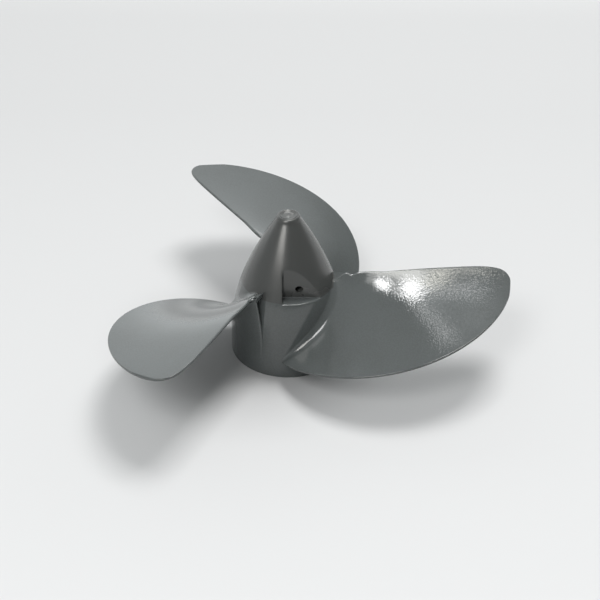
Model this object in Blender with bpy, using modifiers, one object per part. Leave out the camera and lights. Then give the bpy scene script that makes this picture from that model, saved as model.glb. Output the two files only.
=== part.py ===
"""Three-blade propeller of a small outboard motor, moulded in one piece from grey plastic.

The model is in metres, with +Z along the shaft towards the nose cone. Inside the functions,
lengths are in millimetres, heights are above the hub's open end, and angles are in degrees,
counter-clockwise as seen from the nose. The frame's origin is on the shaft, at the height of
the propeller's centre of mass, and -Y is square to the seat of the split pin.
"""

import math

import bmesh
import bpy
from mathutils import Vector

MM = 0.001
CENTRE_OF_MASS_HEIGHT = 28.4

# Hub: a straight skirt, then two arcs that curve in to the nose
HUB_RADIUS = 23.8
HUB_LENGTH = 65.1
SKIRT_HEIGHT = 7.5
SHOULDER_ARC = 84.4
NOSE_ARC_HEIGHT = 40.1
NOSE_ARC = 154.6
NOSE_TIP_RADIUS = 3.7
NOSE_EDGE_ROUND = 1.7
PROFILE_STEPS = 14
TURNED_STEPS = 72

# Inside of the hub, open at the bottom
WALL = 3.0
HOLLOW_HEIGHT = 26.0
HOLLOW_DRAFT = 0.06
BOSS_RADIUS = 9.0
BOSS_RECESS = 6.0
RIB_THICKNESS = 2.6
RIB_COUNT = 3
SHAFT_BORE_RADIUS = 5.1
SHAFT_BORE_END = 46.0
DRIVE_PIN_SLOT_WIDTH = 4.0
DRIVE_PIN_SLOT_DEPTH = 5.0

# Notch in the cone for the split pin that holds the propeller on its shaft
PIN_SEAT_DISTANCE = 14.1
PIN_SEAT_LEDGE = 33.9
PIN_SEAT_LEFT = -2.2
PIN_HOLE_RADIUS = 1.55
PIN_HOLE_HEIGHT = 38.0
PIN_HOLE_OFFSET = 4.6

# Blades: a screw surface, swept back along a curved middle line
BLADE_COUNT = 3
BLADE_DIAMETER = 184.0
FIRST_BLADE_ANGLE = -52.5
ROOT_RADIUS = 23.0
MIDDLE_ANGLE = (59.6, -44.9, 31.3)
HALF_WIDTH_ANGLE = (45.7, -30.2, 5.9, 1.5)
TIP_FULLNESS = 3.4
PLANE_HEIGHT = 22.6
RAKE = (-0.6, 3.1)
PITCH = (119.6, -11.1, -6.8)
ROOT_THICKNESS = 4.4
TIP_THICKNESS = 1.6
EDGE_THICKNESS = 1.0
FACE_FILLET = 3.3
BACK_FILLET = 3.3
EDGE_FILLET = 0.7
BURIED_RADIUS = 15.5
FILLET_SUNK = 0.05
FILLET_STEPS = 3
INNER_STEPS = 5
INNER_END_RADIUS = 30.0
OUTER_STEPS = 15
CHORD_STEPS = 12
TIP_GAP = 0.05
MOST_EDGE_SHARE = 0.3
NEARBY = 0.1
SOLVER_STEPS = 12

# Ear: a small tab on the trailing edge, at the outside of the skirt
EAR_INNER_RADIUS = 19.7
EAR_PEAK_RADIUS = 23.6
EAR_OUTER_RADIUS = 26.4
EAR_ANGLE = 4.4

# Skirt under each blade, left standing proud by the lower half of the mould
SKIRT_START_ANGLE = -45.0
SKIRT_CORNER_ANGLE = 50.1
SKIRT_END_ANGLE = 57.0
SKIRT_BOTTOM = 0.5
SKIRT_END_HEIGHT = 12.0
SKIRT_RADIUS = 23.75
SKIRT_FLARE = 0.006
SKIRT_TOP_RADII = (22.4, 20.9, 19.4, 17.5, BURIED_RADIUS - 0.2)
SKIRT_BELOW_BLADE = 0.7
SKIRT_STEPS = 20
SKIRT_END_STEPS = 6


def power_sum(terms, x, first_power):
    """Value of a polynomial whose terms start at the given power of x."""
    return sum(term * x ** (first_power + i) for i, term in enumerate(terms))


def hub_radius(height):
    """Outer radius of the hub's turned surface."""
    if height <= SKIRT_HEIGHT:
        return HUB_RADIUS
    shoulder_end = min(height, NOSE_ARC_HEIGHT)
    lean = (shoulder_end - SKIRT_HEIGHT) / SHOULDER_ARC
    radius = HUB_RADIUS - SHOULDER_ARC * (1 - math.sqrt(1 - lean**2))
    if height > NOSE_ARC_HEIGHT:
        nose_lean = lean + (height - NOSE_ARC_HEIGHT) / NOSE_ARC
        radius -= NOSE_ARC * (math.sqrt(1 - lean**2) - math.sqrt(1 - nose_lean**2))
    return radius


def blade_x(radius):
    """Share of the way from the blade's root to its tip."""
    return min(max((radius - ROOT_RADIUS) / (BLADE_DIAMETER / 2 - ROOT_RADIUS), 0.0), 1.0)


def smooth_step(share):
    share = min(max(share, 0.0), 1.0)
    return share * share * (3 - 2 * share)


def ear_angle(radius):
    """How far the ear carries the trailing edge on."""
    inner_share = (radius - EAR_INNER_RADIUS) / (EAR_PEAK_RADIUS - EAR_INNER_RADIUS)
    outer_share = (EAR_OUTER_RADIUS - radius) / (EAR_OUTER_RADIUS - EAR_PEAK_RADIUS)
    return EAR_ANGLE * smooth_step(min(inner_share, outer_share))


def blade_angle(radius, across):
    """Angle of a point of the blade, with across running from 0 at the leading edge to 1."""
    x = blade_x(radius)
    middle = power_sum(MIDDLE_ANGLE, x, 1)
    half_width = power_sum(HALF_WIDTH_ANGLE, x, 0) * math.sqrt(1 - x**TIP_FULLNESS)
    return middle + (2 * across - 1) * half_width + ear_angle(radius) * across**8


def screw_height(radius, angle):
    """Height of the blade's driving face."""
    x = blade_x(radius)
    return PLANE_HEIGHT + power_sum(RAKE, x, 1) + power_sum(PITCH, x, 0) * angle / 360


def face_point(radius, angle):
    turn = math.radians(angle)
    return Vector((radius * math.cos(turn), radius * math.sin(turn), screw_height(radius, angle)))


def face_normal(radius, angle):
    """Normal of the driving face, on the nose side."""
    outward = face_point(radius + NEARBY, angle) - face_point(radius - NEARBY, angle)
    around = face_point(radius, angle + NEARBY) - face_point(radius, angle - NEARBY)
    return outward.cross(around).normalized()


def blade_thickness(radius, across):
    """Thickness of an arched section that thins to its edges."""
    thickest = ROOT_THICKNESS + (TIP_THICKNESS - ROOT_THICKNESS) * blade_x(radius)
    arch = 1 - (2 * across - 1) ** 2
    return EDGE_THICKNESS + (thickest - EDGE_THICKNESS) * arch


def skirt_radius(height):
    return SKIRT_RADIUS + SKIRT_FLARE * height


def root_fillet(fullest, across):
    """Radius of the fillet at the root, which runs out towards the two edges."""
    return EDGE_FILLET + (fullest - EDGE_FILLET) * math.sqrt(math.sin(math.pi * across))


def outline_points():
    """Places round a blade section, as (across, side, fillet radius, hub surface below it).

    The side is 1 on the driving face, -1 on the back and 0 on the two edges.
    """
    steps = [step / CHORD_STEPS for step in range(CHORD_STEPS + 1)]
    driving_face = [(across, 1, root_fillet(FACE_FILLET, across), hub_radius) for across in steps]
    back = [(across, -1, root_fillet(BACK_FILLET, across), skirt_radius) for across in steps]
    leading = (0, 0, EDGE_FILLET, skirt_radius)
    trailing = (1, 0, EDGE_FILLET, hub_radius)
    return [leading, *driving_face, trailing, *reversed(back)]


def blade_point(radius, place_on_outline, raised=0.0):
    """Point on the blade's surface, or raised from it along its outward direction."""
    across, side, _, _ = place_on_outline
    chord = math.radians(blade_angle(radius, 1) - blade_angle(radius, 0)) * radius
    inset = min(EDGE_THICKNESS / 2 / chord, MOST_EDGE_SHARE)
    if side:
        across = inset + (1 - 2 * inset) * across
    angle = blade_angle(radius, across)
    normal = face_normal(radius, angle)
    if side > 0:
        return face_point(radius, angle) + normal * raised
    if side < 0:
        return face_point(radius, angle) - normal * (blade_thickness(radius, across) + raised)
    along = face_point(radius, angle + NEARBY) - face_point(radius, angle - NEARBY)
    outward = along.normalized() * (1 if across else -1)
    return face_point(radius, angle) - normal * EDGE_THICKNESS / 2 + outward * raised


def fillet_point(place_on_outline, turn):
    """Point of the root fillet, from the blade at turn 0 to the hub at turn 90."""
    _, _, fillet, surface = place_on_outline
    raised = fillet * (1 - math.cos(math.radians(turn)))
    clearance = fillet * (1 - math.sin(math.radians(turn))) if turn < 90 else -FILLET_SUNK
    radius = ROOT_RADIUS
    for _ in range(SOLVER_STEPS):
        point = blade_point(radius, place_on_outline, raised)
        radius += surface(point.z) + clearance - math.hypot(point.x, point.y)
    return blade_point(radius, place_on_outline, raised), radius


def blade_sections():
    """Closed outlines from inside the hub to the tip, each driving face first, then back."""
    outline = outline_points()
    sections = []
    buried = []
    for place_on_outline in outline:
        point, _ = fillet_point(place_on_outline, 90)
        share = BURIED_RADIUS / math.hypot(point.x, point.y)
        buried.append(Vector((point.x * share, point.y * share, point.z)))
    sections.append(buried)
    for step in range(FILLET_STEPS + 1):
        turn = 90 * (1 - step / FILLET_STEPS)
        sections.append([fillet_point(one, turn)[0] for one in outline])
    starts = [fillet_point(one, 0)[1] for one in outline]
    for step in range(1, INNER_STEPS + 1):
        share = step / INNER_STEPS
        radii = [start + (INNER_END_RADIUS - start) * share for start in starts]
        sections.append([blade_point(radii[i], outline[i]) for i in range(len(outline))])
    tip = BLADE_DIAMETER / 2 - TIP_GAP
    for step in range(1, OUTER_STEPS + 1):
        share = math.sin(math.pi / 2 * step / OUTER_STEPS)
        radius = INNER_END_RADIUS + (tip - INNER_END_RADIUS) * share
        sections.append([blade_point(radius, one) for one in outline])
    return sections


def across_strips(ring):
    """Faces that close a blade's outline, each from its driving face straight to its back."""
    count = len(ring)
    strips = []
    for i in range(count // 2):
        strip = (ring[i], ring[i + 1], ring[count - i - 1], ring[-i])
        strips.append(tuple(dict.fromkeys(strip)))
    return strips


def flat_face(ring):
    return [tuple(ring)]


def loft(name, sections, closing_faces):
    """Closed solid through outlines that have the same number of points."""
    mesh = bmesh.new()
    rings = [[mesh.verts.new(point * MM) for point in section] for section in sections]
    count = len(rings[0])
    for near, far in zip(rings, rings[1:]):
        for i in range(count):
            j = (i + 1) % count
            mesh.faces.new((near[i], near[j], far[j], far[i]))
    for end in (rings[0], rings[-1]):
        for face in closing_faces(end):
            mesh.faces.new(face)
    bmesh.ops.recalc_face_normals(mesh, faces=mesh.faces)
    data = bpy.data.meshes.new(name)
    mesh.to_mesh(data)
    mesh.free()
    return data


def skirt_top(radius, angle):
    """Height of the skirt's top: just under the blade, then curving down past its edge."""
    corner = min(blade_angle(radius, 1), SKIRT_CORNER_ANGLE)
    corner_height = screw_height(ROOT_RADIUS, min(angle, corner)) - SKIRT_BELOW_BLADE
    past_corner = max(angle - corner, 0) / (SKIRT_END_ANGLE - corner)
    fall = corner_height - SKIRT_END_HEIGHT
    return SKIRT_END_HEIGHT + fall * math.sqrt(max(1 - past_corner, 0))


def skirt_section(angle):
    """Radial slice of the skirt, from inside the hub to its outer side and back over the top."""
    turn = math.radians(angle)
    outer_top = skirt_top(SKIRT_RADIUS, angle)
    corners = [
        (SKIRT_TOP_RADII[-1], SKIRT_BOTTOM),
        (skirt_radius(SKIRT_BOTTOM), SKIRT_BOTTOM),
        (skirt_radius(outer_top), outer_top),
        *((radius, skirt_top(radius, angle)) for radius in SKIRT_TOP_RADII),
    ]
    return [
        Vector((radius * math.cos(turn), radius * math.sin(turn), height))
        for radius, height in corners
    ]


def skirt_angles():
    """Angles of the slices: even under the blade, closer together down the end."""
    under_blade = [
        SKIRT_START_ANGLE + (SKIRT_CORNER_ANGLE - SKIRT_START_ANGLE) * step / SKIRT_STEPS
        for step in range(SKIRT_STEPS)
    ]
    end = [
        SKIRT_END_ANGLE
        - (SKIRT_END_ANGLE - SKIRT_CORNER_ANGLE) * (1 - step / SKIRT_END_STEPS) ** 2
        for step in range(SKIRT_END_STEPS + 1)
    ]
    return under_blade + end


def place(name, data, collection, frame, angle=0.0):
    """Object on the shaft's frame, turned about the shaft."""
    solid = bpy.data.objects.new(name, data)
    collection.objects.link(solid)
    solid.parent = frame
    solid.rotation_euler.z = math.radians(angle)
    return solid


def turned(name, profile, collection, frame):
    """Solid of revolution about the shaft, from a profile of radius and height."""
    data = bpy.data.meshes.new(name)
    points = [(radius * MM, 0, height * MM) for radius, height in profile]
    edges = [(i, i + 1) for i in range(len(points) - 1)]
    data.from_pydata(points, edges, [])
    solid = place(name, data, collection, frame)
    screw = solid.modifiers.new("Turn", "SCREW")
    screw.steps = TURNED_STEPS
    screw.render_steps = TURNED_STEPS
    screw.use_merge_vertices = True
    screw.merge_threshold = 0.00005
    return solid


def box(name, low, high, collection, frame, angle=0.0):
    """Block between two corners, turned about the shaft."""
    mesh = bmesh.new()
    bmesh.ops.create_cube(mesh, size=1)
    for vertex in mesh.verts:
        vertex.co = Vector(
            (low[i] + (vertex.co[i] + 0.5) * (high[i] - low[i])) * MM for i in range(3)
        )
    data = bpy.data.meshes.new(name)
    mesh.to_mesh(data)
    mesh.free()
    return place(name, data, collection, frame, angle)


def hub_profile():
    """Right half of the hub's outline, from the nose tip down to the open end."""
    round_centre = HUB_LENGTH - NOSE_EDGE_ROUND
    profile = [(0, HUB_LENGTH), (NOSE_TIP_RADIUS, HUB_LENGTH)]
    nose_side = hub_radius(round_centre)
    corner = nose_side - NOSE_TIP_RADIUS
    for turn in (30, 60):
        profile.append(
            (
                NOSE_TIP_RADIUS + corner * math.sin(math.radians(turn)),
                round_centre + NOSE_EDGE_ROUND * math.cos(math.radians(turn)),
            )
        )
    for step in range(PROFILE_STEPS + 1):
        height = round_centre + (SKIRT_HEIGHT - round_centre) * step / PROFILE_STEPS
        profile.append((hub_radius(height), height))
    profile += [(HUB_RADIUS, 0), (0, 0)]
    return profile


def hollow_profile():
    """Right half of the space inside the skirt, around the boss."""
    mouth_radius = HUB_RADIUS - WALL
    top_radius = mouth_radius - HOLLOW_DRAFT * HOLLOW_HEIGHT
    boss_top_radius = BOSS_RADIUS + 0.5 * HOLLOW_DRAFT * (HOLLOW_HEIGHT - BOSS_RECESS)
    return [
        (0, BOSS_RECESS),
        (BOSS_RADIUS, BOSS_RECESS),
        (boss_top_radius, HOLLOW_HEIGHT),
        (top_radius, HOLLOW_HEIGHT),
        (mouth_radius, 0),
        (mouth_radius, -1),
        (0, -1),
    ]


def grey_plastic():
    material = bpy.data.materials.new("grey_plastic")
    material.use_nodes = True
    shader = material.node_tree.nodes["Principled BSDF"]
    shader.inputs["Base Color"].default_value = (0.17, 0.185, 0.188, 1)
    shader.inputs["Roughness"].default_value = 0.4
    shader.inputs["Metallic"].default_value = 0.0
    return material


def join(solid, other, operation):
    step = solid.modifiers.new(other.name, "BOOLEAN")
    step.operation = operation
    step.object = other


def add_blades(propeller, helpers, frame):
    slices = [skirt_section(angle) for angle in skirt_angles()]
    skirt = loft("blade_skirt", slices, flat_face)
    blade = loft("blade", blade_sections(), across_strips)
    for name, data in (("blade_skirt", skirt), ("blade", blade)):
        for index in range(BLADE_COUNT):
            angle = FIRST_BLADE_ANGLE + 360 / BLADE_COUNT * index
            join(propeller, place(f"{name}_{index}", data, helpers, frame, angle), "UNION")


def add_inside(propeller, helpers, frame):
    """Hollow with its ribs, shaft bore and the slot of the drive pin."""
    join(propeller, turned("hollow", hollow_profile(), helpers, frame), "DIFFERENCE")
    half_rib = RIB_THICKNESS / 2
    rib_low = (BOSS_RADIUS - 1.5, -half_rib, BOSS_RECESS)
    rib_high = (HUB_RADIUS - 0.9 * WALL, half_rib, HOLLOW_HEIGHT + 1)
    for index in range(RIB_COUNT):
        angle = 90 + 360 / RIB_COUNT * index
        rib = box(f"rib_{index}", rib_low, rib_high, helpers, frame, angle)
        join(propeller, rib, "UNION")
    bore_profile = [
        (0, SHAFT_BORE_END),
        (SHAFT_BORE_RADIUS, SHAFT_BORE_END),
        (SHAFT_BORE_RADIUS, -1),
        (0, -1),
    ]
    join(propeller, turned("shaft_bore", bore_profile, helpers, frame), "DIFFERENCE")
    half_slot = DRIVE_PIN_SLOT_WIDTH / 2
    slot_reach = BOSS_RADIUS + 0.7
    slot_low = (-slot_reach, -half_slot, BOSS_RECESS - 1)
    slot_high = (slot_reach, half_slot, BOSS_RECESS + DRIVE_PIN_SLOT_DEPTH)
    slot = box("drive_pin_slot", slot_low, slot_high, helpers, frame)
    join(propeller, slot, "DIFFERENCE")


def add_split_pin_seat(propeller, helpers, frame):
    """Notch in the cone with a flat seat, and a hole straight through the shaft's axis."""
    seat_low = (PIN_SEAT_LEFT, -HUB_RADIUS - 10, PIN_SEAT_LEDGE)
    seat_high = (HUB_RADIUS, -PIN_SEAT_DISTANCE, HUB_LENGTH)
    join(propeller, box("pin_seat", seat_low, seat_high, helpers, frame), "DIFFERENCE")
    mesh = bmesh.new()
    bmesh.ops.create_cone(
        mesh,
        cap_ends=True,
        segments=16,
        radius1=PIN_HOLE_RADIUS * MM,
        radius2=PIN_HOLE_RADIUS * MM,
        depth=2 * HUB_RADIUS * MM,
    )
    data = bpy.data.meshes.new("pin_hole")
    mesh.to_mesh(data)
    mesh.free()
    hole = place("pin_hole", data, helpers, frame)
    hole.location.z = PIN_HOLE_HEIGHT * MM
    towards_seat = math.atan2(-PIN_SEAT_DISTANCE, PIN_HOLE_OFFSET)
    hole.rotation_euler = (0, math.pi / 2, towards_seat)
    join(propeller, hole, "DIFFERENCE")


def main():
    for leftover in list(bpy.data.objects):
        bpy.data.objects.remove(leftover)
    parts = bpy.data.collections.new("propeller")
    helpers = bpy.data.collections.new("cutters")
    bpy.context.scene.collection.children.link(parts)
    bpy.context.scene.collection.children.link(helpers)
    frame = bpy.data.objects.new("shaft_frame", None)
    frame.location.z = -CENTRE_OF_MASS_HEIGHT * MM
    parts.objects.link(frame)

    propeller = turned("propeller", hub_profile(), parts, frame)
    propeller.data.materials.append(grey_plastic())
    add_blades(propeller, helpers, frame)
    add_inside(propeller, helpers, frame)
    add_split_pin_seat(propeller, helpers, frame)
    propeller.data.shade_smooth()
    propeller.data.set_sharp_from_angle(angle=math.radians(35))

    for helper in helpers.objects:
        helper.hide_render = True
        helper.display_type = "WIRE"


main()
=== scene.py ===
import math

import bmesh
import bpy
import numpy as np
from mathutils import Matrix, Quaternion, Vector


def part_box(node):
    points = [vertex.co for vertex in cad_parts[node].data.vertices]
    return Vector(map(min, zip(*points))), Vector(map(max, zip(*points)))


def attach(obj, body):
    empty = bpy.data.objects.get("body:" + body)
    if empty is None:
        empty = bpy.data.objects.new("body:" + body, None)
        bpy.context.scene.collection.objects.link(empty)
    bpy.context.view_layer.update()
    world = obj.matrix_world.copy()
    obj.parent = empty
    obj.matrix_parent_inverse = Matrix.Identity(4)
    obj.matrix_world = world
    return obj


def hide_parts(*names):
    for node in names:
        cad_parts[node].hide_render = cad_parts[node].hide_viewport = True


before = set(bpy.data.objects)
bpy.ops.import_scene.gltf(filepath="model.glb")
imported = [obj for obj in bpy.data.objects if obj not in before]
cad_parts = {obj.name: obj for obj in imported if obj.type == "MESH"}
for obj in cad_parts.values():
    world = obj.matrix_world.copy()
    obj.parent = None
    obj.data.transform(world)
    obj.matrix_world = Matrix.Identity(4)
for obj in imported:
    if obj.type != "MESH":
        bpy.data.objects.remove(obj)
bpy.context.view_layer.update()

# Camera: it stands where the photograph was taken from, about 0.8 m away and 35 degrees above the
# floor, square to the split pin's seat and leaning by half a degree. Its aim is counted from the
# middle of the hub's open end, which stands on the floor.
CAMERA_ELEVATION = 35.02
CAMERA_LEAN = 0.6
CAMERA_DISTANCE = 0.8023
CAMERA_ASIDE = 0.0052
CAMERA_ABOVE = 0.01865
LENS_LENGTH = 113.13
SENSOR_WIDTH = 36
HUB_BASE_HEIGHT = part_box("propeller")[0].z

camera_axes = (
    Matrix.Rotation(math.radians(90 - CAMERA_ELEVATION), 3, "X")
    @ Matrix.Rotation(math.radians(CAMERA_LEAN), 3, "Z")
)
camera_data = bpy.data.cameras.new("camera")
camera_data.lens = LENS_LENGTH
camera_data.sensor_width = SENSOR_WIDTH
camera_data.clip_end = 10
camera = bpy.data.objects.new("camera", camera_data)
camera.location = camera_axes @ Vector((CAMERA_ASIDE, CAMERA_ABOVE, CAMERA_DISTANCE))
camera.location.z += HUB_BASE_HEIGHT
camera.rotation_euler = camera_axes.to_euler()
bpy.context.scene.collection.objects.link(camera)
bpy.context.scene.camera = camera

# Hub: the middle of the one-piece moulding in glossy grey plastic, round about the shaft from the
# gate mark on its nose to the open end. The notch for the split pin is moulded into the cone.
# Lengths of the moulding are in millimetres, heights above the open end and angles in degrees.
MM = 0.001
HUB_RADIUS = 23.8
STRAIGHT_HEIGHT = 7.5
SHOULDER_ARC = 84.4
NOSE_ARC_HEIGHT = 40.1
NOSE_ARC = 154.6
# Radius and height of the gate mark, of the ring round it, and of the nose's rounded edge
NOSE_TIP = (
    (0, 64.97), (0.5, 64.95), (0.75, 64.86), (1.1, 64.8), (1.9, 64.8), (2.5, 64.86), (2.85, 64.98),
    (3.05, 65.08), (3.2, 65.1), (3.35, 65.06), (3.45, 64.94), (3.55, 64.88), (3.65, 64.94),
    (3.8, 65.03), (4.0, 65.03), (4.2, 64.97), (4.42, 64.83), (4.64, 64.6), (4.83, 64.28),
    (4.96, 63.9), (5.04, 63.6),
)
NOSE_SIDE_TOP = 63.25
NOSE_ROWS = 18
SEAT_DISTANCE = 14.1
SEAT_LEDGE = 33.9
SEAT_LEFT = -2.2
SEAT_TOP = 48.6
SEAT_STEP = 0.25
SEAT_RUN_OUT = 0.22
SEAT_WALL_DRAFT = 0.12
LEDGE_DRAFT = 0.02
ABOVE_CORNER = 0.1
BELOW_CORNER = 0.5
BELOW_SEAT_ROWS = 34
CORNER_ROUND = 0.4
CORNER_STEPS = 4
CORNER_TURNS = np.radians(np.linspace(0, 90, CORNER_STEPS + 1))
WALL = 3.0
HOLLOW_HEIGHT = 26.0
HOLLOW_DRAFT = 0.06
HOLLOW_FILLET = 1.2
HOLLOW_FIRST_ROW = 1.5
HOLLOW_ROWS = 12
HOLLOW_TOP_RADII = (17, 12)
ROW_GAP = 0.5
BOSS_RADIUS = 9.0
BOSS_RECESS = 6.0
BOSS_DRAFT = 0.03
BOSS_ROWS = 9
SHAFT_BORE_RADIUS = 5.1
SHAFT_BORE_END = 46.0
BORE_CORNER = 0.8
BORE_END_RADIUS = 2.5
BORE_ROWS = 12
RIM_ROUND = 0.45
SHARP_CORNER = 40


def hub_radius(height):
    """Outer radius of the hub."""
    lean = np.maximum(np.minimum(height, NOSE_ARC_HEIGHT) - STRAIGHT_HEIGHT, 0) / SHOULDER_ARC
    nose_lean = lean + np.maximum(height - NOSE_ARC_HEIGHT, 0) / NOSE_ARC
    shoulder = SHOULDER_ARC * (1 - np.sqrt(1 - lean**2))
    nose = NOSE_ARC * (np.sqrt(1 - lean**2) - np.sqrt(1 - nose_lean**2))
    return HUB_RADIUS - shoulder - nose


def quarter_circle(radius, height, size, start, inside=False):
    """Rounded corner of the profile about a centre, clockwise, or the other way round inside."""
    turns = np.radians(start) + (CORNER_TURNS if inside else -CORNER_TURNS)
    return list(zip(radius + size * np.cos(turns), height + size * np.sin(turns)))


def mesh_from_rings(name, rings, ends=True, first_end=None):
    """Closed mesh through rings with the same number of points, in millimetres."""
    rings = np.asarray(rings, float) * MM
    ring_count, point_count = rings.shape[:2]
    rings[..., 2] += HUB_BASE_HEIGHT
    number = np.arange(ring_count * point_count).reshape(ring_count, point_count)
    after = np.roll(number, -1, axis=1)
    quads = np.stack((number[:-1], after[:-1], after[1:], number[1:]), -1).reshape(-1, 4)
    faces = quads.tolist()
    if ends:
        faces += first_end or [number[0][::-1].tolist()]
        faces.append(number[-1].tolist())
    data = bpy.data.meshes.new(name)
    data.from_pydata(rings.reshape(-1, 3).tolist(), [], faces)
    mesh = bmesh.new()
    mesh.from_mesh(data)
    bmesh.ops.remove_doubles(mesh, verts=mesh.verts, dist=1e-6)
    bmesh.ops.dissolve_degenerate(mesh, edges=mesh.edges, dist=1e-7)
    bmesh.ops.recalc_face_normals(mesh, faces=mesh.faces)
    mesh.to_mesh(data)
    mesh.free()
    return data


def moulded(name, data):
    """Piece of the moulding, smooth but for its real corners."""
    data.shade_smooth()
    data.set_sharp_from_angle(angle=math.radians(SHARP_CORNER))
    data.materials.clear()
    data.materials.append(plastic)
    piece = bpy.data.objects.new(name, data)
    bpy.context.scene.collection.objects.link(piece)
    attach(piece, "root")
    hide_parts("propeller")


def ramp(tree, source, start, end, start_value, end_value, interpolation="SMOOTHSTEP"):
    """Value that goes from one end of a range to the other."""
    step = tree.nodes.new("ShaderNodeMapRange")
    step.interpolation_type = interpolation
    step.inputs["From Min"].default_value = start
    step.inputs["From Max"].default_value = end
    step.inputs["To Min"].default_value = start_value
    step.inputs["To Max"].default_value = end_value
    tree.links.new(source, step.inputs["Value"])
    return step.outputs[0]


def combined(tree, operation, first, second):
    """Sum or product of two values."""
    node = tree.nodes.new("ShaderNodeMath")
    node.operation = operation
    tree.links.new(first, node.inputs[0])
    tree.links.new(second, node.inputs[1])
    return node.outputs[0]


plastic = bpy.data.materials.new("grey_plastic")
plastic.use_nodes = True
plastic_tree = plastic.node_tree
plastic_shader = plastic_tree.nodes["Principled BSDF"]
plastic_place = plastic_tree.nodes.new("ShaderNodeTexCoord").outputs["Object"]


def mould_noise(scale, detail):
    """Noise of the moulded surface, with its scale in lumps a metre."""
    noise = plastic_tree.nodes.new("ShaderNodeTexNoise")
    noise.inputs["Scale"].default_value = scale
    noise.inputs["Detail"].default_value = detail
    plastic_tree.links.new(plastic_place, noise.inputs["Vector"])
    return noise.outputs["Fac"]


# Distance from the shaft, in metres: the blades' thin outer parts took the orange-peel skin
flat_place = plastic_tree.nodes.new("ShaderNodeVectorMath")
flat_place.operation = "MULTIPLY"
flat_place.inputs[1].default_value = (1, 1, 0)
plastic_tree.links.new(plastic_place, flat_place.inputs[0])
shaft_distance = plastic_tree.nodes.new("ShaderNodeVectorMath")
shaft_distance.operation = "LENGTH"
plastic_tree.links.new(flat_place.outputs[0], shaft_distance.inputs[0])
from_shaft = shaft_distance.outputs["Value"]
height_part = plastic_tree.nodes.new("ShaderNodeSeparateXYZ")
plastic_tree.links.new(plastic_place, height_part.inputs[0])

# The nose is painted a darker grey down to the seat's ledge, as painted shade. The upper half of
# the mould is matt, so the nose is also duller.
# The blades lie outside the cone and keep their gloss.
LEDGE_LEVEL = SEAT_LEDGE * MM + HUB_BASE_HEIGHT
CONE_SLOPE = 0.373
CONE_REACH = 0.0219
above_ledge = ramp(
    plastic_tree, height_part.outputs["Z"], LEDGE_LEVEL + 0.0001, LEDGE_LEVEL + 0.0005, 0, 1
)
cone_distance = plastic_tree.nodes.new("ShaderNodeMath")
cone_distance.operation = "MULTIPLY_ADD"
cone_distance.inputs[1].default_value = CONE_SLOPE
plastic_tree.links.new(height_part.outputs["Z"], cone_distance.inputs[0])
plastic_tree.links.new(from_shaft, cone_distance.inputs[2])
in_cone = ramp(plastic_tree, cone_distance.outputs[0], CONE_REACH, CONE_REACH + 0.0004, 1, 0)
nose_painted_shade_and_matt = combined(plastic_tree, "MULTIPLY", above_ledge, in_cone)

cloudy = mould_noise(45, 3)
grain = mould_noise(1600, 0)
clouds = ramp(plastic_tree, cloudy, 0.3, 0.7, 0, 0.7)
speckle = ramp(plastic_tree, grain, 0.35, 0.65, 0, 0.5)
blade_grey = plastic_tree.nodes.new("ShaderNodeMix")
blade_grey.data_type = "RGBA"
blade_grey.inputs["A"].default_value = (0.082, 0.089, 0.087, 1)
blade_grey.inputs["B"].default_value = (0.094, 0.103, 0.102, 1)
mottle = combined(plastic_tree, "ADD", clouds, speckle)
plastic_tree.links.new(mottle, blade_grey.inputs["Factor"])
# Painted shade: the nose's mask mixes a darker grey into the blade grey
grey = plastic_tree.nodes.new("ShaderNodeMix")
grey.data_type = "RGBA"
grey.inputs["B"].default_value = (0.062, 0.064, 0.061, 1)
plastic_tree.links.new(nose_painted_shade_and_matt, grey.inputs["Factor"])
plastic_tree.links.new(blade_grey.outputs["Result"], grey.inputs["A"])
plastic_tree.links.new(grey.outputs["Result"], plastic_shader.inputs["Base Color"])

plastic_shader.inputs["IOR"].default_value = 1.58
skin_roughness = ramp(plastic_tree, cloudy, 0.3, 0.7, 0.06, 0.075)
hub_roughness = ramp(plastic_tree, from_shaft, 0.026, 0.036, 0.04, 0)
nose_roughness = ramp(plastic_tree, nose_painted_shade_and_matt, 0, 1, 0, 0.16)
roughness = combined(plastic_tree, "ADD", skin_roughness, hub_roughness)
roughness = combined(plastic_tree, "ADD", roughness, nose_roughness)
plastic_tree.links.new(roughness, plastic_shader.inputs["Roughness"])

outer_share = ramp(plastic_tree, from_shaft, 0.028, 0.04, 0.05, 1.0)
orange_peel = combined(plastic_tree, "MULTIPLY", grain, outer_share)
soft_waves = ramp(plastic_tree, mould_noise(160, 1), 0.2, 0.8, 0, 0.35)
skin_height = combined(plastic_tree, "ADD", orange_peel, soft_waves)
skin_bump = plastic_tree.nodes.new("ShaderNodeBump")
skin_bump.inputs["Strength"].default_value = 1.0
skin_bump.inputs["Distance"].default_value = 0.000022
plastic_tree.links.new(skin_height, skin_bump.inputs["Height"])
plastic_tree.links.new(skin_bump.outputs[0], plastic_shader.inputs["Normal"])

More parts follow.
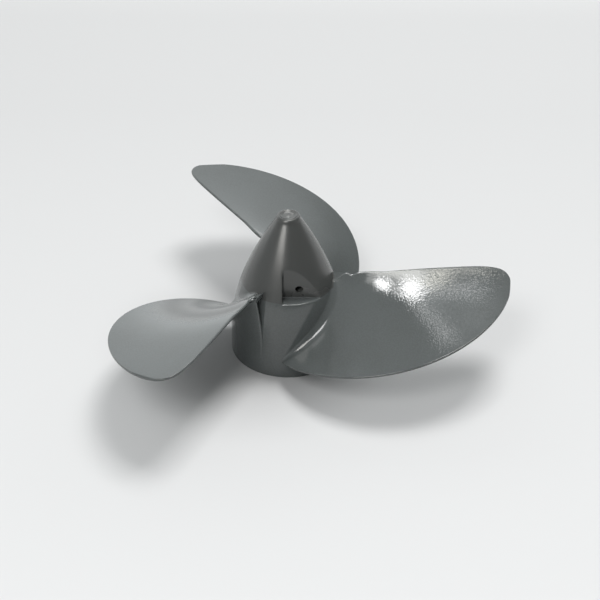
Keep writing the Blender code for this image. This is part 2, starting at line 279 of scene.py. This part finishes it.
# Profile of the hub, from the nose down the outside, round the rim, up the hollow, down the boss
# and up the shaft's bore. The notch has rows of its own, close together at the ledge's corners:
# corner_out grows and corner_in shrinks along a quarter of a circle.
corner_out = CORNER_ROUND * (1 - np.cos(CORNER_TURNS))
corner_in = CORNER_ROUND * (1 - np.sin(CORNER_TURNS))
outside_heights = np.concatenate((
    np.linspace(NOSE_SIDE_TOP, SEAT_TOP, NOSE_ROWS)[:-1],
    np.arange(SEAT_TOP, SEAT_LEDGE + CORNER_ROUND + ABOVE_CORNER, -SEAT_STEP),
    (SEAT_LEDGE + corner_out)[::-1],
    SEAT_LEDGE - LEDGE_DRAFT - corner_in[::-1],
    np.linspace(SEAT_LEDGE - CORNER_ROUND - BELOW_CORNER, RIM_ROUND, BELOW_SEAT_ROWS),
))
mouth_radius = HUB_RADIUS - WALL
hollow_top_radius = mouth_radius - HOLLOW_DRAFT * HOLLOW_HEIGHT
boss_top_radius = BOSS_RADIUS + BOSS_DRAFT * (HOLLOW_HEIGHT - BOSS_RECESS)
fillet_height = HOLLOW_HEIGHT - HOLLOW_FILLET
profile = list(NOSE_TIP)
profile += list(zip(hub_radius(outside_heights), outside_heights))
outside_rows = len(profile)
profile += quarter_circle(HUB_RADIUS - RIM_ROUND, RIM_ROUND, RIM_ROUND, 0)
profile += quarter_circle(mouth_radius + RIM_ROUND, RIM_ROUND, RIM_ROUND, -90)
profile += [
    (mouth_radius - HOLLOW_DRAFT * height, height)
    for height in np.linspace(HOLLOW_FIRST_ROW, fillet_height - ROW_GAP, HOLLOW_ROWS)
]
profile += quarter_circle(
    hollow_top_radius - HOLLOW_FILLET, fillet_height, HOLLOW_FILLET, 0, inside=True
)
profile += [(radius, HOLLOW_HEIGHT) for radius in np.linspace(*HOLLOW_TOP_RADII, 4)]
profile += quarter_circle(
    boss_top_radius + HOLLOW_FILLET, fillet_height, HOLLOW_FILLET, 90, inside=True
)
profile += [
    (BOSS_RADIUS + BOSS_DRAFT * (height - BOSS_RECESS), height)
    for height in np.linspace(fillet_height - ROW_GAP, BOSS_RECESS + 1, BOSS_ROWS)
]
boss_corner = BOSS_RECESS + RIM_ROUND
profile += quarter_circle(BOSS_RADIUS - RIM_ROUND, boss_corner, RIM_ROUND, 0)
profile += quarter_circle(SHAFT_BORE_RADIUS + RIM_ROUND, boss_corner, RIM_ROUND, -90)
profile += [
    (SHAFT_BORE_RADIUS, height)
    for height in np.linspace(BOSS_RECESS + 2, SHAFT_BORE_END - 1, BORE_ROWS)
]
profile += quarter_circle(
    SHAFT_BORE_RADIUS - BORE_CORNER, SHAFT_BORE_END - BORE_CORNER, BORE_CORNER, 0, inside=True
)
profile += [(BORE_END_RADIUS, SHAFT_BORE_END), (0, SHAFT_BORE_END)]

# Columns of the hub, by their angle from the front: close together across the seat, with two
# rounded corners at the seat's left wall
LEFT_OF_SEAT = -25.0
RIGHT_OF_SEAT = 52.0
LEFT_COLUMNS = 8
SEAT_COLUMNS = 60
FAR_COLUMNS = 98
SEAT_MARGIN = 1.0
wall_x = np.concatenate((
    SEAT_LEFT - corner_in,
    SEAT_LEFT + SEAT_WALL_DRAFT + corner_out,
))
left_share = np.linspace(0, 1, LEFT_COLUMNS + 1)[:-1]
seat_share = np.linspace(0, 1, SEAT_COLUMNS + 1)[1:]
far_angles = np.linspace(RIGHT_OF_SEAT, 360 + LEFT_OF_SEAT, FAR_COLUMNS + 2)[1:-1]
outer_corner = slice(LEFT_COLUMNS, LEFT_COLUMNS + len(CORNER_TURNS))
inner_corner = slice(outer_corner.stop, outer_corner.stop + len(CORNER_TURNS))
seat_end = inner_corner.stop + SEAT_COLUMNS
rings = []
for row, (radius, height) in enumerate(profile):
    outside = row < outside_rows
    column_height = np.clip(height, SEAT_LEDGE, SEAT_TOP) if outside else SEAT_LEDGE
    wall_angles = np.degrees(np.arcsin(wall_x / hub_radius(column_height)))
    angles = np.radians(np.concatenate((
        LEFT_OF_SEAT + (wall_angles[0] - LEFT_OF_SEAT) * left_share,
        wall_angles,
        wall_angles[-1] + (RIGHT_OF_SEAT - wall_angles[-1]) * seat_share,
        far_angles,
    )))
    x = radius * np.sin(angles)
    y = -radius * np.cos(angles)
    if outside and SEAT_LEDGE - SEAT_MARGIN < height < SEAT_TOP + SEAT_MARGIN:
        # Depth of the seat below the cone, and how much of it the rounded corners leave
        depth = -SEAT_DISTANCE - y
        depth = (depth + np.sqrt(depth**2 + SEAT_RUN_OUT**2)) / 2
        across = depth.copy()
        across[:outer_corner.start] = 0
        across[outer_corner] = np.minimum(corner_out, depth[outer_corner] / 2)
        across[inner_corner] = np.maximum(depth[inner_corner] - corner_in, depth[inner_corner] / 2)
        across[seat_end:] = 0
        if height > SEAT_LEDGE + CORNER_ROUND:
            up = depth
        elif height >= SEAT_LEDGE:
            step = np.arccos(np.clip(1 - (height - SEAT_LEDGE) / CORNER_ROUND, -1, 1))
            up = np.maximum(depth - CORNER_ROUND * (1 - np.sin(step)), depth / 2)
        else:
            below = SEAT_LEDGE - LEDGE_DRAFT - height
            step = np.arcsin(np.clip(1 - below / CORNER_ROUND, 0, 1))
            up = np.minimum(CORNER_ROUND * (1 - np.cos(step)), depth / 2)
        y = y + np.minimum(across, up)
    rings.append(np.column_stack((x, y, np.full(len(x), height))))
hub_blank = bpy.data.objects.new("hub_blank", mesh_from_rings("hub_blank", rings, ends=False))
bpy.context.scene.collection.objects.link(hub_blank)

# The split pin's hole goes from the seat through the cone. The drive pin's slot crosses the boss,
# and the corners of its floor are rounded.
PIN_HOLE_RADIUS = 1.55
PIN_HOLE_HEIGHT = 38.0
PIN_HOLE_OFFSET = 4.6
PIN_HOLE_LENGTH = 50.0
PIN_HOLE_SIDES = 40
SLOT_WIDTH = 4.0
SLOT_DEPTH = 5.0
SLOT_CORNER = 0.8
SLOT_CLEARANCE = 0.7
SLOT_OVERCUT = 1.0


def cutter(name, mesh):
    """Object that cuts the hub."""
    data = bpy.data.meshes.new(name)
    mesh.to_mesh(data)
    mesh.free()
    tool = bpy.data.objects.new(name, data)
    bpy.context.scene.collection.objects.link(tool)
    return tool


hole_mesh = bmesh.new()
bmesh.ops.create_cone(
    hole_mesh, cap_ends=True, segments=PIN_HOLE_SIDES, radius1=PIN_HOLE_RADIUS * MM,
    radius2=PIN_HOLE_RADIUS * MM, depth=PIN_HOLE_LENGTH * MM,
)
hole_turn = math.atan2(-SEAT_DISTANCE, PIN_HOLE_OFFSET)
hole_mesh.transform(
    Matrix.Translation((0, 0, PIN_HOLE_HEIGHT * MM + HUB_BASE_HEIGHT))
    @ Matrix.Rotation(hole_turn, 4, "Z")
    @ Matrix.Rotation(math.pi / 2, 4, "Y")
)
slot_mesh = bmesh.new()
bmesh.ops.create_cube(slot_mesh, size=1)
slot_size = (
    2 * (BOSS_RADIUS + SLOT_CLEARANCE) * MM, SLOT_WIDTH * MM, (SLOT_DEPTH + SLOT_OVERCUT) * MM
)
slot_middle = (BOSS_RECESS + (SLOT_DEPTH - SLOT_OVERCUT) / 2) * MM + HUB_BASE_HEIGHT
slot_mesh.transform(Matrix.Translation((0, 0, slot_middle)) @ Matrix.Diagonal((*slot_size, 1)))
slot_floor_edges = [
    edge for edge in slot_mesh.edges
    if all(vertex.co.z > slot_middle for vertex in edge.verts)
    and abs(edge.verts[0].co.x - edge.verts[1].co.x) > MM
]
bmesh.ops.bevel(
    slot_mesh, geom=slot_floor_edges, offset=SLOT_CORNER * MM, segments=4, affect="EDGES"
)
for tool in (cutter("pin_hole", hole_mesh), cutter("pin_slot", slot_mesh)):
    cut = hub_blank.modifiers.new(tool.name, "BOOLEAN")
    cut.operation = "DIFFERENCE"
    cut.solver = "EXACT"
    cut.object = tool
cut_hub = hub_blank.evaluated_get(bpy.context.evaluated_depsgraph_get())
hub_data = bpy.data.meshes.new_from_object(cut_hub)
hub_data.name = "hub"
for leftover in ("hub_blank", "pin_hole", "pin_slot"):
    bpy.data.objects.remove(bpy.data.objects[leftover])
moulded("hub", hub_data)

# Ribs: three plates between the boss and the hub's wall, moulded with the hub. They are thinner
# towards the open end, so that the moulding leaves its core, and have blunt lower edges.
RIB_COUNT = 3
FIRST_RIB_ANGLE = 90
RIB_THICKNESS = 2.6
RIB_TAPER = 0.35
RIB_BOTTOM = 6.5
RIB_TOP = HOLLOW_HEIGHT + 1
RIB_INNER = 7.5
RIB_OUTER = 21.2
RIB_EDGE_INSET = 0.45
RIB_EDGE_DROP = 0.3
RIB_STEPS = 12

rib_along = np.linspace(RIB_INNER, RIB_OUTER, RIB_STEPS)
rib_along = np.concatenate((rib_along, rib_along[::-1]))
rib_side = np.repeat((-1.0, 1.0), RIB_STEPS)
for index in range(RIB_COUNT):
    turn = math.radians(FIRST_RIB_ANGLE + 360 / RIB_COUNT * index)
    rib_rings = []
    for step, height in enumerate(np.linspace(RIB_BOTTOM, RIB_TOP, RIB_STEPS)):
        share = (height - RIB_BOTTOM) / (RIB_TOP - RIB_BOTTOM)
        half = RIB_THICKNESS / 2 - RIB_TAPER * (1 - share)
        if step == 0:
            half -= RIB_EDGE_INSET
            height -= RIB_EDGE_DROP
        side = rib_side * half
        rib_rings.append(np.column_stack((
            rib_along * math.cos(turn) - side * math.sin(turn),
            rib_along * math.sin(turn) + side * math.cos(turn),
            np.full(len(side), height),
        )))
    moulded(f"rib_{index}", mesh_from_rings(f"rib_{index}", rib_rings))

# Blades: three right-hand screw blades of the same moulding. Each has a flat driving face towards
# the nose, an arched back, round edges, a fillet where it grows out of the hub, and a small thick
# ear at the root of its trailing edge. Angles count from the blade's own middle at the root.
BLADE_COUNT = 3
BLADE_DIAMETER = 184.0
FIRST_BLADE_ANGLE = -52.5
ROOT_RADIUS = 23.0
MIDDLE_ANGLE = (59.6, -44.9, 31.3)
HALF_WIDTH_ANGLE = (45.7, -30.2, 5.9, 1.5)
TIP_FULLNESS = 3.4
PLANE_HEIGHT = 22.6
RAKE = (-0.6, 3.1)
PITCH = (119.6, -11.1, -6.8)
ROOT_THICKNESS = 4.4
TIP_THICKNESS = 1.6
EDGE_THICKNESS = 1.0
EDGE_TRIM = 0.3
MOST_TRIM_SHARE = 0.3
FILLET = 3.3
EDGE_FILLET = 0.35
FILLET_SINK = 0.04
FILLET_TURNS = (90, 78, 66, 54, 42, 30, 18, 8, 0)
FILLET_ROUNDS = 24
FILLET_PACE = 0.8
EAR_INNER_RADIUS = 19.4
EAR_PEAK_RADIUS = 24.0
EAR_OUTER_RADIUS = 26.4
EAR_ANGLE = 4.1
EAR_THICKENING = 0.6
EAR_SHARPNESS = 6
HEEL_RADIUS = 19.0
HEEL_ANGLE = 4.5
SHOULDER_ANGLE = 2.0
SHOULDER_START = (26.4, 29.2)
SHOULDER_END = (30.0, 42.0)
TAB_SHARPNESS = 8
SKIRT_RADIUS = 23.75
SKIRT_FLARE = 0.006
BURIED_SHARE = 0.15
BURIED_DEEPER = 4.2
BURIED_CHANGE = (5.5, 8.0)
CHORD_STEPS = 72
EVEN_SHARE = 0.65
EDGE_STEPS = 8
HUB_SIDE_TURN = 100
INNER_STEPS = 12
INNER_END_RADIUS = 30.0
OUTER_STEPS = 84
TIP_INSET = 0.3
TIP_ROUND = 0.45
TIP_TURNS = (25, 50, 70, 85)
TIP_STEP = 0.02
NEARBY = 0.1


def blade_share(radius):
    """Share of the way from the blade's root to its tip."""
    return np.clip((radius - ROOT_RADIUS) / (BLADE_DIAMETER / 2 - ROOT_RADIUS), 0, 1)


def power_sum(terms, share, first_power):
    """Polynomial of the share, from its first power on."""
    return sum(term * share ** (first_power + i) for i, term in enumerate(terms))


def smooth_step(share):
    """Share that starts and ends without a kink."""
    share = np.clip(share, 0, 1)
    return share * share * (3 - 2 * share)


def rise_between(value, start, end):
    """0 before the start, 1 after the end, and smooth between them."""
    return smooth_step((value - start) / (end - start))


def ear_share(radius):
    """1 at the peak of the small ear on the trailing edge, and 0 away from it."""
    inner = (radius - EAR_INNER_RADIUS) / (EAR_PEAK_RADIUS - EAR_INNER_RADIUS)
    outer = (EAR_OUTER_RADIUS - radius) / (EAR_OUTER_RADIUS - EAR_PEAK_RADIUS)
    return smooth_step(np.minimum(inner, outer))


def trailing_tab(radius):
    """Angle by which the ear, the heel below it and the shoulder move the trailing edge."""
    ear = EAR_ANGLE * ear_share(radius)
    heel = HEEL_ANGLE * (1 - rise_between(radius, HEEL_RADIUS, EAR_PEAK_RADIUS))
    rising = rise_between(radius, *SHOULDER_START)
    falling = rise_between(radius, *SHOULDER_END)
    return ear - heel + SHOULDER_ANGLE * rising * (1 - falling)


def blade_angle(radius, across):
    """Angle of a point of the blade, with across running from 0 at the leading edge to 1."""
    share = blade_share(radius)
    half_width = power_sum(HALF_WIDTH_ANGLE, share, 0) * np.sqrt(1 - share**TIP_FULLNESS)
    middle = power_sum(MIDDLE_ANGLE, share, 1)
    return middle + (2 * across - 1) * half_width + trailing_tab(radius) * across**TAB_SHARPNESS


def screw_height(radius, angle):
    """Height of the blade's driving face."""
    share = blade_share(radius)
    return PLANE_HEIGHT + power_sum(RAKE, share, 1) + power_sum(PITCH, share, 0) * angle / 360


def face_point(radius, angle):
    """Point of the blade's driving face."""
    turn = np.radians(angle)
    return np.stack((radius * np.cos(turn), radius * np.sin(turn), screw_height(radius, angle)), -1)


def unit(vectors):
    """Vectors of the same directions and a length of 1."""
    return vectors / np.linalg.norm(vectors, axis=-1, keepdims=True)


def skirt_radius(height):
    """Outer radius of the skirt below a blade."""
    return SKIRT_RADIUS + SKIRT_FLARE * height


def buried_in_hub(height):
    """Radius at which a piece ends inside the hub: within its wall, or deeper above the hollow."""
    in_wall = mouth_radius - HOLLOW_DRAFT * height + WALL * BURIED_SHARE
    return in_wall - BURIED_DEEPER * rise_between(height - HOLLOW_HEIGHT, *BURIED_CHANGE)


# Places round a blade section: the driving face, the trailing edge, the back, the leading edge
chord_places = (1 - np.cos(np.linspace(0, math.pi, CHORD_STEPS + 1))) / 2
even_places = np.linspace(0, 1, CHORD_STEPS + 1)
chord_places = (1 - EVEN_SHARE) * chord_places + EVEN_SHARE * even_places
edge_turns = np.linspace(0, 180, EDGE_STEPS + 1)[1:-1]
outline_across = np.concatenate((
    chord_places, np.ones(len(edge_turns)), chord_places[::-1], np.zeros(len(edge_turns))
))
outline_turn = np.radians(np.concatenate((
    np.zeros(CHORD_STEPS + 1), edge_turns, np.full(CHORD_STEPS + 1, 180), edge_turns[::-1]
)))
outline_end = np.where(outline_across > 0.5, 1.0, -1.0)
outline_fillet = EDGE_FILLET + (FILLET - EDGE_FILLET) * np.sqrt(
    np.maximum(np.sin(math.pi * outline_across), 0)
)
# The driving face and the upper half of the trailing edge end on the hub, the rest on the skirt
on_hub = (outline_turn < math.radians(HUB_SIDE_TURN)) & (
    (outline_across > 0) | (outline_turn == 0)
)


def blade_points(radius, raised=0.0, slimmed=1.0):
    """One ring of the blade's surface, or raised from it along its outward direction."""
    radius = np.broadcast_to(radius, outline_across.shape)
    chord = np.radians(blade_angle(radius, 1) - blade_angle(radius, 0)) * radius
    ear = EAR_THICKENING * ear_share(radius)
    inset = np.minimum(((EDGE_THICKNESS + ear) / 2 + EDGE_TRIM) / chord, MOST_TRIM_SHARE)
    round_end = EDGE_THICKNESS / 2 + np.where(outline_end > 0, ear / 2, 0)
    reach_in = np.minimum(round_end, inset * chord)
    across = inset + (1 - 2 * inset) * outline_across
    angle = blade_angle(radius, across)
    face = face_point(radius, angle)
    along = unit(face_point(radius, angle + NEARBY) - face_point(radius, angle - NEARBY))
    outward = face_point(radius + NEARBY, angle) - face_point(radius - NEARBY, angle)
    normal = unit(np.cross(outward, along))
    thickest = ROOT_THICKNESS + (TIP_THICKNESS - ROOT_THICKNESS) * blade_share(radius)
    edge = EDGE_THICKNESS + ear * across**EAR_SHARPNESS
    thickness = edge + (thickest - EDGE_THICKNESS) * (1 - (2 * across - 1) ** 2)
    rise = np.cos(outline_turn)
    reach = np.sin(outline_turn) * outline_end
    direction = rise[:, None] * normal + reach[:, None] * along
    middle = face - normal * (thickness / 2)[:, None]
    surface = (
        normal * (rise * thickness / 2 * slimmed)[:, None]
        + along * (reach * reach_in * slimmed)[:, None]
    )
    return middle + surface + direction * np.asarray(raised * np.ones(len(face)))[:, None]


def fillet_points(turn):
    """Ring of the root fillet, from the blade at turn 0 to the hub at turn 90, and its radius."""
    turn = math.radians(turn)
    raised = outline_fillet * (1 - math.cos(turn))
    clearance = outline_fillet * (1 - math.sin(turn)) - FILLET_SINK * math.sin(turn) ** 8
    radius = np.full(len(outline_across), ROOT_RADIUS)
    for _ in range(FILLET_ROUNDS):
        points = blade_points(radius, raised)
        surface = np.where(on_hub, hub_radius(points[:, 2]), skirt_radius(points[:, 2]))
        miss = surface + clearance - np.hypot(points[:, 0], points[:, 1])
        radius = radius + FILLET_PACE * miss
    return blade_points(radius, raised), radius


root_ring, _ = fillet_points(90)
buried = root_ring.copy()
buried_radius = buried_in_hub(root_ring[:, 2])
buried[:, :2] *= (buried_radius / np.hypot(root_ring[:, 0], root_ring[:, 1]))[:, None]
sections = [buried]
for turn in FILLET_TURNS:
    ring, start_radius = fillet_points(turn)
    sections.append(ring)
for step in range(1, INNER_STEPS + 1):
    radius = start_radius + (INNER_END_RADIUS - start_radius) * step / INNER_STEPS
    sections.append(blade_points(radius))
tip_radius = BLADE_DIAMETER / 2 - TIP_INSET
outer_length = tip_radius - TIP_ROUND - INNER_END_RADIUS
for step in range(1, OUTER_STEPS + 1):
    share = 0.5 * step / OUTER_STEPS + 0.5 * math.sin(math.pi / 2 * step / OUTER_STEPS)
    sections.append(blade_points(INNER_END_RADIUS + outer_length * share))
for turn in np.radians(TIP_TURNS):
    radius = tip_radius - TIP_ROUND * (1 - math.sin(turn)) - TIP_STEP
    sections.append(blade_points(radius, slimmed=math.cos(turn)))
sections = np.array(sections)
# The buried end is closed from the driving face to the back, so that it keeps to the hub's wall
face_side = np.arange(-(EDGE_STEPS // 2), CHORD_STEPS + EDGE_STEPS // 2)
back_side = 2 * CHORD_STEPS + EDGE_STEPS - face_side
buried_end = np.stack((face_side, face_side + 1, back_side - 1, back_side), -1)
buried_end = [list(dict.fromkeys(face)) for face in (buried_end % len(outline_across)).tolist()]


def turned_about_shaft(points, angle):
    """The same points, turned from the first axis to a blade's place."""
    turn = math.radians(angle)
    spin = np.array((
        (math.cos(turn), math.sin(turn), 0),
        (-math.sin(turn), math.cos(turn), 0),
        (0, 0, 1),
    ))
    return points @ spin


blade_angles = [FIRST_BLADE_ANGLE + 360 / BLADE_COUNT * index for index in range(BLADE_COUNT)]
for index, angle in enumerate(blade_angles):
    blade_sections = turned_about_shaft(sections, angle)
    blade = mesh_from_rings(f"blade_{index}", blade_sections, first_end=buried_end)
    moulded(f"blade_{index}", blade)

# Skirts: below each blade the moulding goes straight down, proud of the hub as it curves in,
# because the lower half of the mould couldn't leave from under the blade. Each ends in an upright
# step with a rounded corner, the mould's parting line, below the trailing edge.
SKIRT_START_ANGLE = -45.0
SKIRT_CORNER_ANGLE = 50.1
SKIRT_END_ANGLE = 57.0
SKIRT_END_LEAN = 1.3
SKIRT_BOTTOM = 0.5
SKIRT_END_HEIGHT = 12.0
SKIRT_BELOW_BLADE = 0.7
STEP_ROUND = 1.0
STEP_CORNER_STEPS = 8
SKIRT_COLUMNS = 90
SKIRT_END_COLUMNS = 15
SKIRT_INNER_COLUMNS = 39
SKIRT_ROWS = 40
FIRST_TOP_HEIGHT = 30.0
FIRST_END_HEIGHT = 20.0
HEIGHT_ROUNDS = 12


def corner_angle(radius):
    """Angle of the top of the skirt's end, under the blade's trailing edge."""
    drawn_in = SKIRT_END_LEAN * (SKIRT_RADIUS - radius)
    return np.minimum(blade_angle(radius, 1), SKIRT_CORNER_ANGLE) - drawn_in


def skirt_top(angle):
    """Height of the skirt's upper edge, which lies inside the blade's root."""
    return screw_height(ROOT_RADIUS, angle) - SKIRT_BELOW_BLADE


def end_angle(radius, height):
    """Angle of the skirt's end, which leans back under the blade above its straight part."""
    corner = corner_angle(radius)
    fall = skirt_top(corner) - SKIRT_END_HEIGHT
    up = np.clip((height - SKIRT_END_HEIGHT) / fall, 0, 1)
    return corner + (SKIRT_END_ANGLE - corner) * (1 - up**2)


skirt_share = np.linspace(0, 1, SKIRT_COLUMNS + 1)
step_turns = np.radians(np.linspace(0, 90, STEP_CORNER_STEPS + 1))[1:]
end_share = np.linspace(0, 1, SKIRT_END_COLUMNS + 1)[1:]
round_angle = math.degrees(STEP_ROUND / SKIRT_RADIUS)
flat_start = SKIRT_RADIUS - STEP_ROUND
corner_radii = SKIRT_RADIUS - STEP_ROUND * (1 - np.cos(step_turns))
corner_back = np.append(round_angle * (1 - np.sin(step_turns)), np.zeros(len(end_share)))


def outer_angles(height):
    """Angles of the skirt's outside, from its start to the rounded corner of the step."""
    outer_end = end_angle(SKIRT_RADIUS, height) - round_angle
    return SKIRT_START_ANGLE + (outer_end - SKIRT_START_ANGLE) * skirt_share


# The skirt's upper edge and its end depend on each other, so both are found in a few rounds
outer_top = np.full(len(skirt_share), FIRST_TOP_HEIGHT)
for _ in range(HEIGHT_ROUNDS):
    outer_top = skirt_top(outer_angles(outer_top))
skirt_rings = []
for share in np.linspace(0, 1, SKIRT_ROWS + 1):
    height = SKIRT_BOTTOM + (outer_top - SKIRT_BOTTOM) * share
    outer = (skirt_radius(height), outer_angles(height), height)
    height = np.full(len(corner_back), FIRST_END_HEIGHT)
    for _ in range(HEIGHT_ROUNDS):
        flat_end = buried_in_hub(height[len(corner_radii):])
        end_radii = flat_start + (flat_end - flat_start) * end_share
        radius = np.append(corner_radii, end_radii)
        height = SKIRT_BOTTOM + (skirt_top(corner_angle(radius)) - SKIRT_BOTTOM) * share
    flare = np.append(SKIRT_FLARE * height[:len(corner_radii)], np.zeros(len(end_share)))
    end = (radius + flare, end_angle(radius, height) - corner_back, height)
    inner_angle = np.linspace(end[1][-1], SKIRT_START_ANGLE, SKIRT_INNER_COLUMNS + 1)[1:]
    inner_height = np.interp(inner_angle, outer[1], outer[2])
    inner = (buried_in_hub(inner_height), inner_angle, inner_height)
    radius, angle, height = (np.concatenate(parts) for parts in zip(outer, end, inner))
    turn = np.radians(angle)
    skirt_rings.append(np.column_stack((radius * np.cos(turn), radius * np.sin(turn), height)))
skirt_rings = np.array(skirt_rings)
for index, angle in enumerate(blade_angles):
    skirt = mesh_from_rings(f"skirt_{index}", turned_about_shaft(skirt_rings, angle))
    moulded(f"skirt_{index}", skirt)

# Floor: a level table top of matt white acrylic, lit from above and glowing by itself as painted
# light, which lightens its shadows.
# The glow is dimmed round the hub as painted shade. It is stronger in front of the hub than behind
# it, and strongest far behind it, out of the camera's view, where it shows in the plastic's gloss.
FLOOR_REACH = 3.0
PAINTED_SHADE_CENTRE = (-0.018, -0.004, HUB_BASE_HEIGHT)
floor_mesh = bpy.data.meshes.new("floor")
floor_mesh.from_pydata(
    [
        (x * FLOOR_REACH, y * FLOOR_REACH, HUB_BASE_HEIGHT)
        for x, y in ((-1, -1), (1, -1), (1, 1), (-1, 1))
    ],
    [], [(0, 1, 2, 3)],
)
floor = bpy.data.objects.new("floor", floor_mesh)
bpy.context.scene.collection.objects.link(floor)
acrylic = bpy.data.materials.new("white_acrylic")
acrylic.use_nodes = True
acrylic_tree = acrylic.node_tree
acrylic_shader = acrylic_tree.nodes["Principled BSDF"]
acrylic_shader.inputs["Base Color"].default_value = (0.5, 0.5, 0.5, 1)
acrylic_shader.inputs["Roughness"].default_value = 0.7
acrylic_shader.inputs["Specular IOR Level"].default_value = 0.1
acrylic_shader.inputs["Emission Color"].default_value = (0.985, 1.0, 1.0, 1)
floor_place = acrylic_tree.nodes.new("ShaderNodeTexCoord").outputs["Object"]
from_hub = acrylic_tree.nodes.new("ShaderNodeVectorMath")
from_hub.operation = "DISTANCE"
from_hub.inputs[1].default_value = PAINTED_SHADE_CENTRE
acrylic_tree.links.new(floor_place, from_hub.inputs[0])
floor_parts = acrylic_tree.nodes.new("ShaderNodeSeparateXYZ")
acrylic_tree.links.new(floor_place, floor_parts.inputs[0])
# Painted shade round the hub, and painted light over the rest of the floor
painted_shade_round_hub = ramp(acrylic_tree, from_hub.outputs["Value"], 0.022, 0.068, 0.1, 1.0)
near_painted_glow = ramp(acrylic_tree, floor_parts.outputs["Y"], -0.2, 0.2, 0.24, 0.12, "LINEAR")
far_painted_glow = ramp(acrylic_tree, floor_parts.outputs["Y"], 0.3, 0.5, 0, 0.55)
painted_floor_glow = combined(acrylic_tree, "MULTIPLY", painted_shade_round_hub, near_painted_glow)
painted_floor_glow = combined(acrylic_tree, "ADD", painted_floor_glow, far_painted_glow)
acrylic_tree.links.new(painted_floor_glow, acrylic_shader.inputs["Emission Strength"])
floor_mesh.materials.append(acrylic)

# Light: a large softbox above the right rear lights the propeller and throws its shadows, and
# another at the left front fills them. Lamps and tubes hang 1.5 m above the table and show only
# in the plastic's gloss, most of all on the front blade. So does a strip at the left, on the cone.
LAMP_HEIGHT = 1.5
FACE_HEIGHT = 1.52
WHITE = (1, 1, 1)


def softbox(name, place, size, radiance, colour=WHITE, aim=(0, 0, 0), turn=0):
    """Rectangular lamp with an even glow, turned towards the propeller or another aim."""
    width, depth = size
    data = bpy.data.lights.new(name, "AREA")
    data.shape = "RECTANGLE"
    data.size = width
    data.size_y = depth
    data.energy = radiance * width * depth * math.pi
    data.color = colour
    lamp = bpy.data.objects.new(name, data)
    lamp.location = place
    facing = (Vector(place) - Vector(aim)).to_track_quat("Z", "Y")
    lamp.rotation_euler = (facing @ Quaternion((0, 0, 1), math.radians(turn))).to_euler()
    bpy.context.scene.collection.objects.link(lamp)
    return lamp


key_light = softbox("key_light", (0.29, 0.41, 1.5), (0.65, 0.65), 15)
key_light.visible_glossy = False
softbox("front_fill", (-0.39, -0.97, 1.21), (0.5, 0.5), 10.5)
for name, (x, y, height), size, turn, radiance, colour in (
    ("front_lamp", (-0.07, 0.14, LAMP_HEIGHT), (0.115, 0.18), 0, 24, WHITE),
    ("rear_lamp", (-0.025, 0.442, LAMP_HEIGHT), (0.15, 0.165), 0, 18, WHITE),
    ("key_face", (0.27, 0.23, FACE_HEIGHT), (0.44, 0.66), 0, 9.5, (1, 1, 0.96)),
    ("inner_face", (-0.035, 0.23, FACE_HEIGHT), (0.17, 0.66), 0, 3.2, (1, 1, 0.98)),
    ("long_tube", (0.05, 0.71, LAMP_HEIGHT), (0.41, 0.022), 71, 8, WHITE),
    ("warm_tube", (0.105, 0.625, LAMP_HEIGHT), (0.18, 0.045), 52, 14, (1, 0.98, 0.88)),
    ("far_tube", (0.203, 0.765, LAMP_HEIGHT), (0.37, 0.03), 83, 12, (1, 0.98, 0.9)),
    ("left_tube", (-0.15, 0.77, LAMP_HEIGHT), (0.46, 0.04), 98, 4, WHITE),
    ("edge_lamp", (0.0, 1.5, LAMP_HEIGHT), (0.7, 0.2), 0, 16, WHITE),
):
    place = (x, y, height + HUB_BASE_HEIGHT)
    lamp = softbox(name, place, size, radiance, colour, (x, y, 0), turn)
    lamp.visible_diffuse = False
left_strip = softbox("left_strip", (-0.75, -1.15, 0.78), (0.7, 0.5), 7, (1, 0.98, 0.94))
left_strip.visible_diffuse = False

# Room: pale walls and ceiling round the table, lighter to the left. The backdrop behind the table
# is lit from the floor up to half the ceiling's height, most of all low at the left, and one part
# of the far ceiling has bright fittings, which show in the gloss of the blades.
studio = bpy.data.worlds.new("studio")
studio.use_nodes = True
studio_tree = studio.node_tree
studio_place = studio_tree.nodes.new("ShaderNodeTexCoord").outputs["Generated"]
studio_parts = studio_tree.nodes.new("ShaderNodeSeparateXYZ")
studio_tree.links.new(studio_place, studio_parts.inputs[0])
to_right, to_back, upward = studio_parts.outputs
fittings = studio_tree.nodes.new("ShaderNodeTexNoise")
fittings.inputs["Scale"].default_value = 25
fittings.inputs["Detail"].default_value = 1
studio_tree.links.new(studio_place, fittings.inputs["Vector"])


def product(*factors):
    """Product of several of the room's values."""
    result = factors[0]
    for factor in factors[1:]:
        result = combined(studio_tree, "MULTIPLY", result, factor)
    return result


behind = ramp(studio_tree, to_back, 0.15, 0.6, 0.08, 1.0)
room_glow = (
    product(ramp(studio_tree, upward, 0.5, 0.74, 0.85, 0.0), behind),
    product(
        behind,
        ramp(studio_tree, to_right, -0.06, 0.04, 1, 0),
        ramp(studio_tree, upward, 0.0, 0.2, 0.3, 0),
    ),
    product(
        ramp(studio_tree, to_back, 0.33, 0.38, 0, 1),
        ramp(studio_tree, upward, 0.79, 0.83, 0, 1),
        ramp(studio_tree, to_right, -0.17, -0.06, 0, 1.6),
        ramp(studio_tree, to_right, -0.01, 0.06, 1, 0.12),
        ramp(studio_tree, fittings.outputs["Fac"], 0.42, 0.58, 0.1, 1),
    ),
    ramp(studio_tree, to_right, -0.35, 0.05, 0.42, 0.12),
)
strength = room_glow[0]
for part in room_glow[1:]:
    strength = combined(studio_tree, "ADD", strength, part)
studio_tree.links.new(strength, studio_tree.nodes["Background"].inputs["Strength"])
studio_tree.nodes["Background"].inputs["Color"].default_value = (0.95, 0.99, 1.0, 1)
bpy.context.scene.world = studio
bpy.context.scene.view_settings.view_transform = "Standard"
